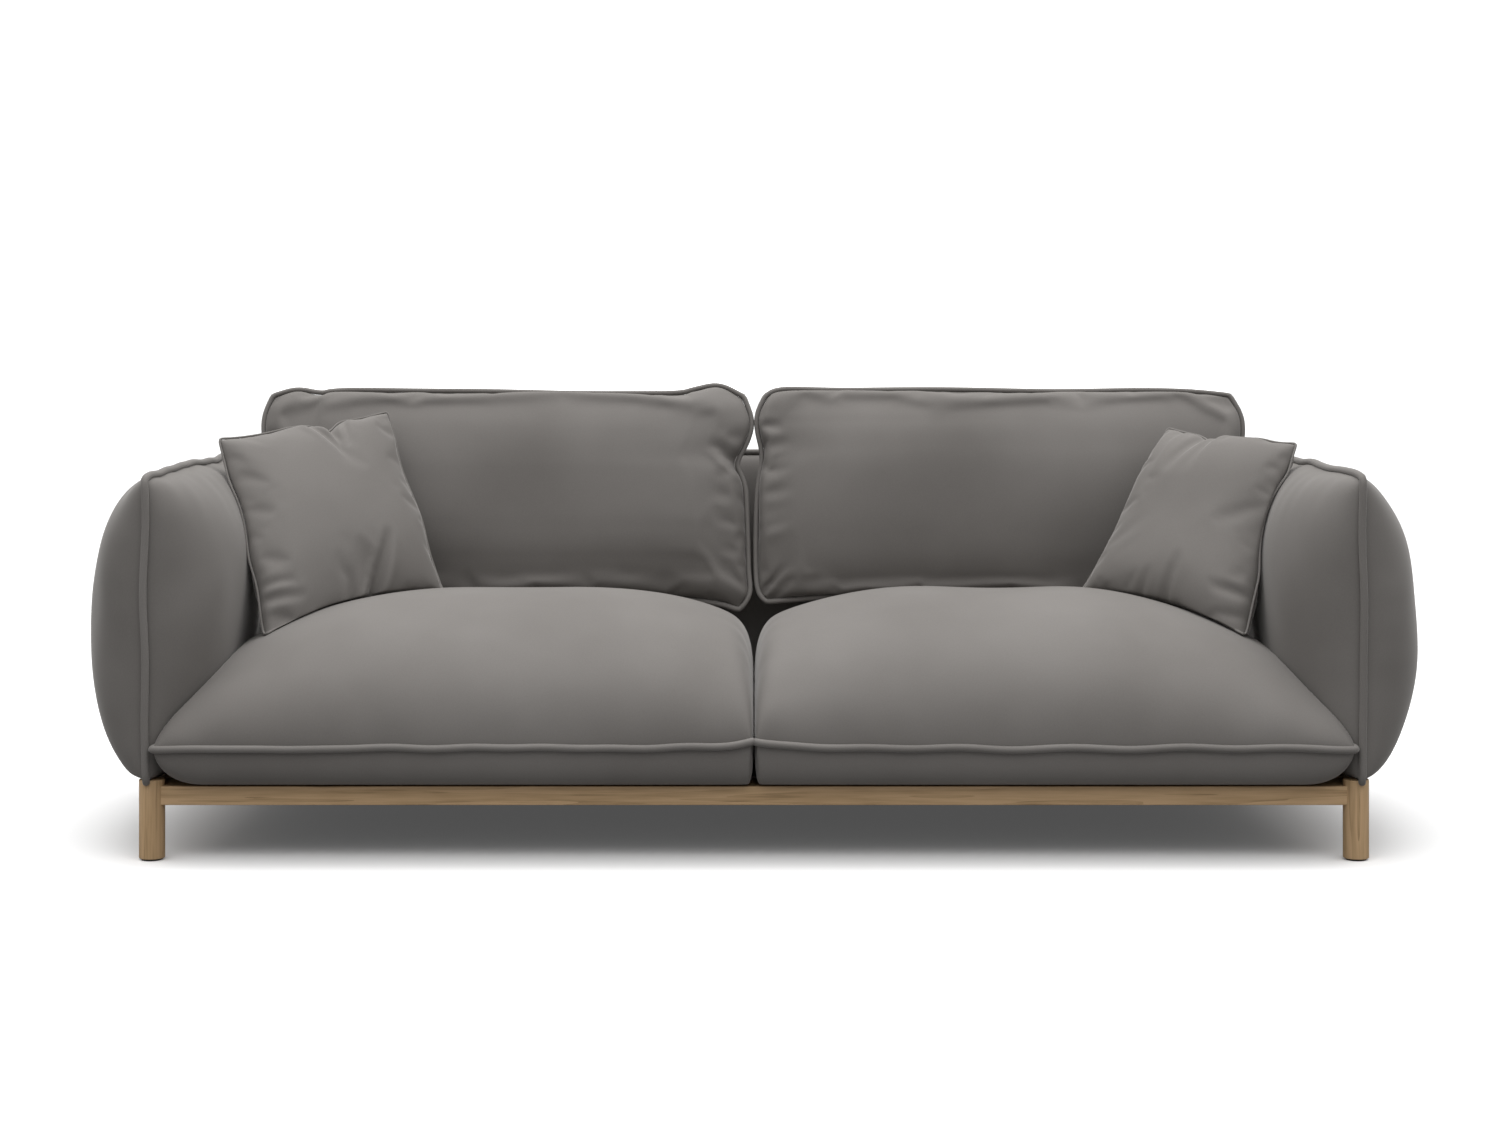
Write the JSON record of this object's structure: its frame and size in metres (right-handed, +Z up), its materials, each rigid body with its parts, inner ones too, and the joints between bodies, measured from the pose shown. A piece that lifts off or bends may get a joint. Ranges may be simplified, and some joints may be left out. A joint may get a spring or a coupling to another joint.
{
  "type": "sofa",
  "caption": "Wide sofa with welted pillow arms, loose crowned seat and back cushions, throw pillows and a light oak base on round legs.",
  "frame": {"origin": "on the floor, below the middle of the sofa as seen from above", "axes": "+Z up, -Y towards the front where a person sits, +X to the right as seen from the front, along the length"},
  "size_m": [2.4448, 1, 0.8129],
  "materials": {
    "oak": "oiled light oak with a fine straight grain",
    "dowel_beech": "plain beech",
    "plywood": "raw birch plywood",
    "glide_plastic": "hard black glide",
    "zinc_steel": "zinc plated steel",
    "webbing": "woven elastic webbing",
    "deck_felt": "needled felt",
    "dust_cloth": "spunbond cloth",
    "foam": "cut polyurethane foam",
    "fibre_fill": "siliconised fibre in a cotton casing",
    "zip_tape": "woven zip tape with a nylon coil",
    "velvet": "warm grey short-pile velvet",
    "velvet_welt": "warm grey velvet cord covering"
  },
  "bodies": {
    "frame": {"arm_board_left": "plywood", "arm_board_right": "plywood", "arm_bolts": "zinc_steel", "arm_cover_left": "velvet", "arm_cover_right": "velvet", "arm_foam_left": "foam", "arm_foam_right": "foam", "arm_spacers": "dowel_beech", "arm_welt_left": "velvet_welt", "arm_welt_right": "velvet_welt", "back_board": "plywood", "back_bolts": "zinc_steel", "back_cover": "velvet", "back_foam": "foam", "back_spacers": "dowel_beech", "back_welt": "velvet_welt", "bracket_screws": "zinc_steel", "centre_beam": "oak", "corner_brackets": "zinc_steel", "deck_pad": "deck_felt", "dust_cover": "dust_cloth", "front_rail": "oak", "leg_front_left": "oak", "leg_front_right": "oak", "leg_glides": "glide_plastic", "leg_rear_left": "oak", "leg_rear_right": "oak", "rail_dowels": "dowel_beech", "rear_rail": "oak", "side_rail_left": "oak", "side_rail_right": "oak", "webbing_front_to_back": "webbing", "webbing_side_to_side": "webbing", "webbing_tacks": "zinc_steel"},
    "seat_cushion_left": {"seat_core_left": "foam", "seat_cover_left": "velvet", "seat_welt_left": "velvet_welt", "seat_zip_tape_left": "zip_tape"},
    "seat_cushion_right": {"seat_core_right": "foam", "seat_cover_right": "velvet", "seat_welt_right": "velvet_welt", "seat_zip_tape_right": "zip_tape"},
    "back_cushion_left": {"back_cushion_core_left": "fibre_fill", "back_cushion_cover_left": "velvet", "back_cushion_welt_left": "velvet_welt"},
    "back_cushion_right": {"back_cushion_core_right": "fibre_fill", "back_cushion_cover_right": "velvet", "back_cushion_welt_right": "velvet_welt"},
    "throw_pillow_left": {"pillow_cover_left": "velvet", "pillow_insert_left": "fibre_fill"},
    "throw_pillow_right": {"pillow_cover_right": "velvet", "pillow_insert_right": "fibre_fill"},
    "zip_slider_left": {"seat_zip_slider_left": "zinc_steel"},
    "zip_slider_right": {"seat_zip_slider_right": "zinc_steel"}
  },
  "joints": [
    {"name": "seat_cushion_left_pull_out", "type": "slide", "parent": "frame", "child": "seat_cushion_left", "axis": [0, -1, 0], "range_m": [0, 0.3]},
    {"name": "back_cushion_left_lift_off", "type": "slide", "parent": "frame", "child": "back_cushion_left", "axis": [0, 0.2079, 0.9781], "range_m": [0, 0.3]},
    {"name": "throw_pillow_left_lift_off", "type": "slide", "parent": "seat_cushion_left", "child": "throw_pillow_left", "axis": [0, 0, 1], "range_m": [0, 0.3]},
    {"name": "zip_slider_left_run", "type": "slide", "parent": "seat_cushion_left", "child": "zip_slider_left", "axis": [-1, 0, 0], "range_m": [0, 0.68]},
    {"name": "seat_cushion_right_pull_out", "type": "slide", "parent": "frame", "child": "seat_cushion_right", "axis": [0, -1, 0], "range_m": [0, 0.3]},
    {"name": "back_cushion_right_lift_off", "type": "slide", "parent": "frame", "child": "back_cushion_right", "axis": [0, 0.2079, 0.9781], "range_m": [0, 0.3]},
    {"name": "throw_pillow_right_lift_off", "type": "slide", "parent": "seat_cushion_right", "child": "throw_pillow_right", "axis": [0, 0, 1], "range_m": [0, 0.3]},
    {"name": "zip_slider_right_run", "type": "slide", "parent": "seat_cushion_right", "child": "zip_slider_right", "axis": [1, 0, 0], "range_m": [0, 0.68]}
  ]
}
